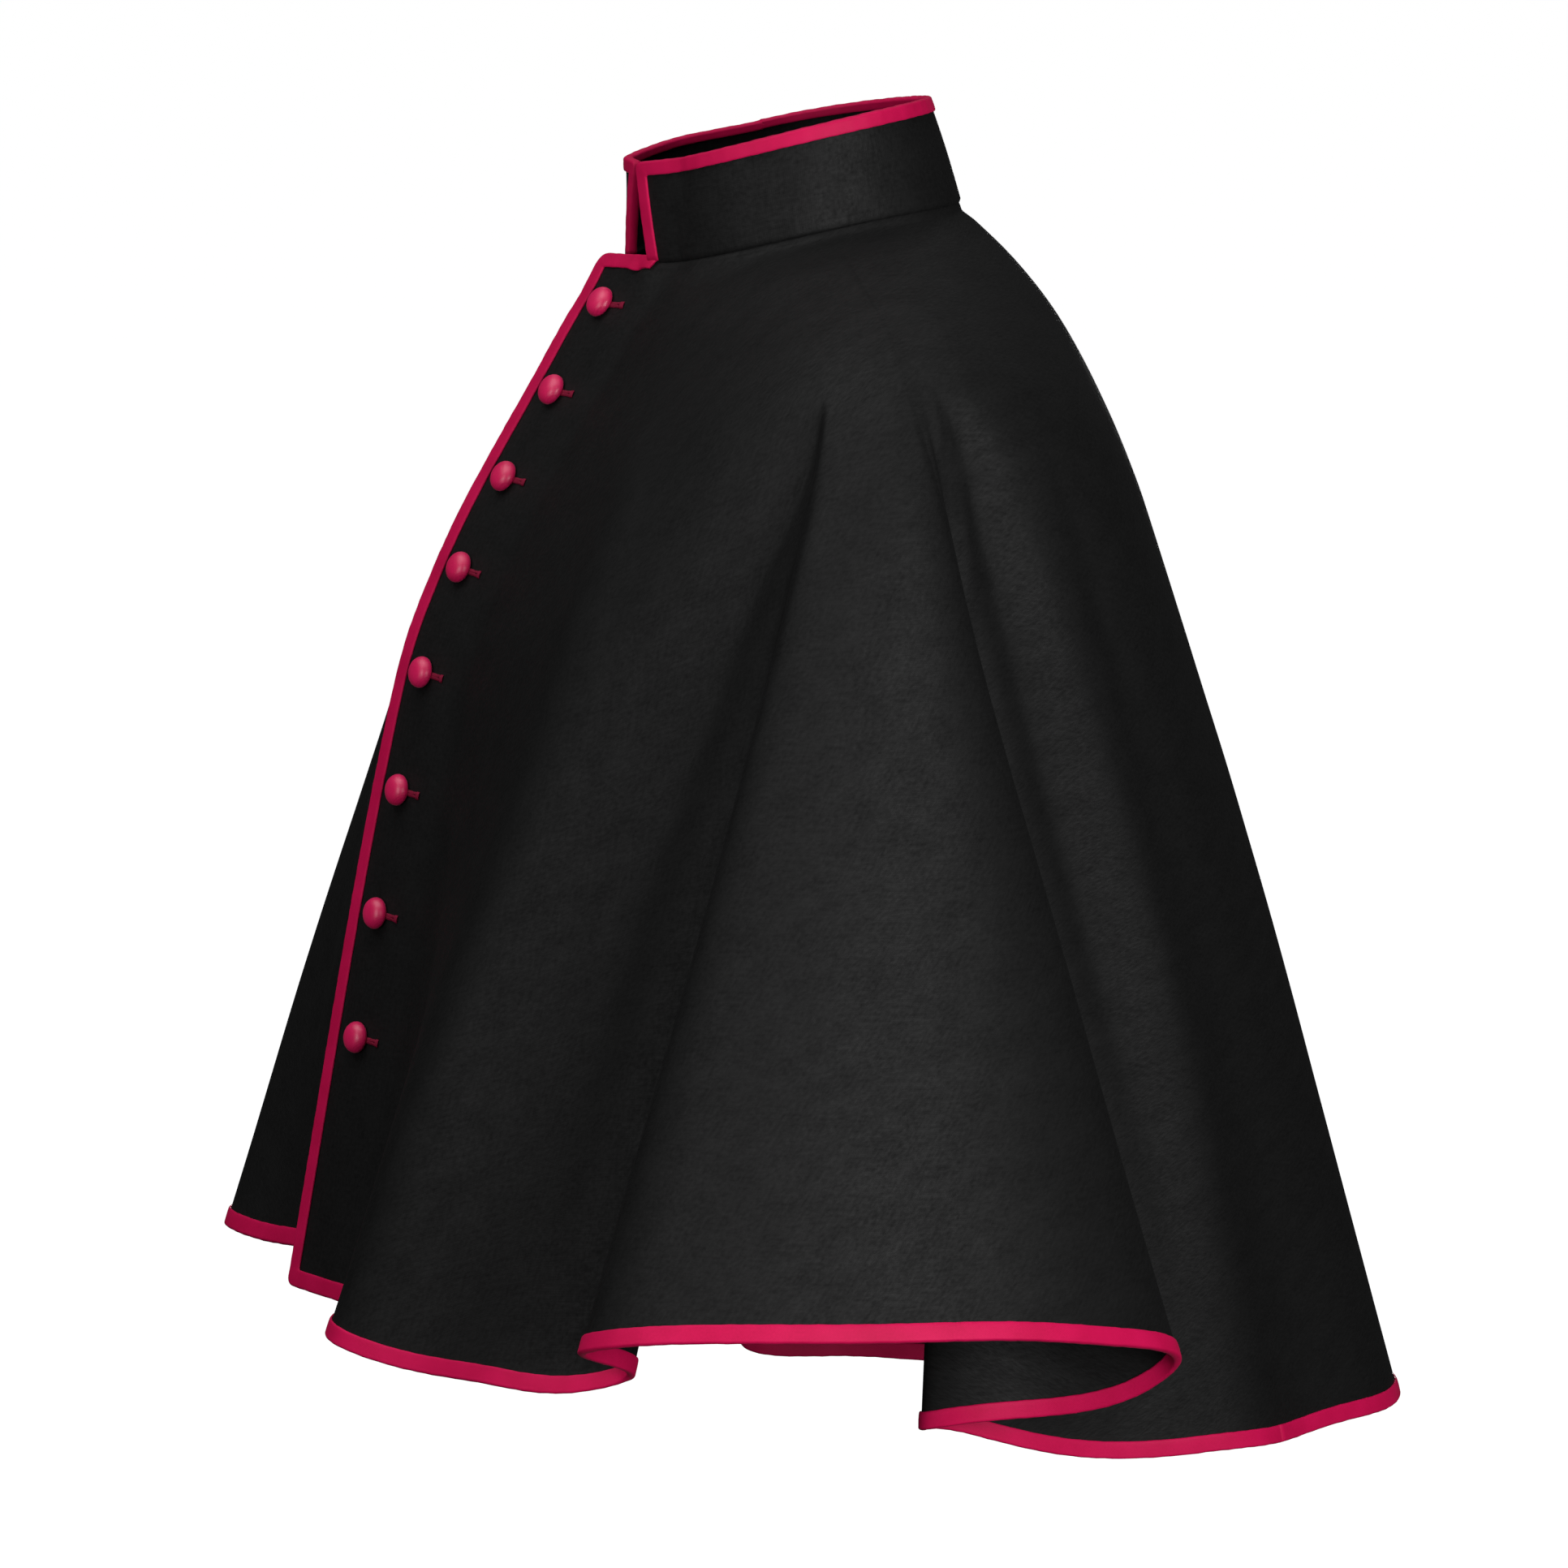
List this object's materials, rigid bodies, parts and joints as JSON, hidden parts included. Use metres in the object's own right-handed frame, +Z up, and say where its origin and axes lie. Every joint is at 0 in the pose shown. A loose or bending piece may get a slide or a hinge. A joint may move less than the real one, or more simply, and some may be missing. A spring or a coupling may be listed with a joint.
{
  "type": "mozzetta",
  "caption": "Elbow-length buttoned shoulder cape with a stand-up collar, folded as if worn: black wool with a crimson binding on every edge and crimson covered buttons down the front.",
  "frame": {"origin": "centre of the neckline, within 5 mm of the mean height of the seam between collar and cape", "axes": "+Z up the wearer's neck, -Y the way the wearer faces, +X towards the wearer's left"},
  "size_m": [0.6211, 0.5053, 0.5957],
  "materials": {
    "cloth": "matt fine black wool",
    "binding": "dull crimson silk cut on the bias",
    "button": "crimson silk over a domed mould"
  },
  "bodies": {
    "root": {"cape_left": "cloth", "cape_right": "cloth", "collar": "cloth", "collar_binding": "binding", "edge_binding_left": "binding", "edge_binding_right": "binding", "button_1": "button", "button_2": "button", "button_3": "button", "button_4": "button", "button_5": "button", "button_6": "button", "button_7": "button", "button_8": "button"}
  },
  "joints": []
}
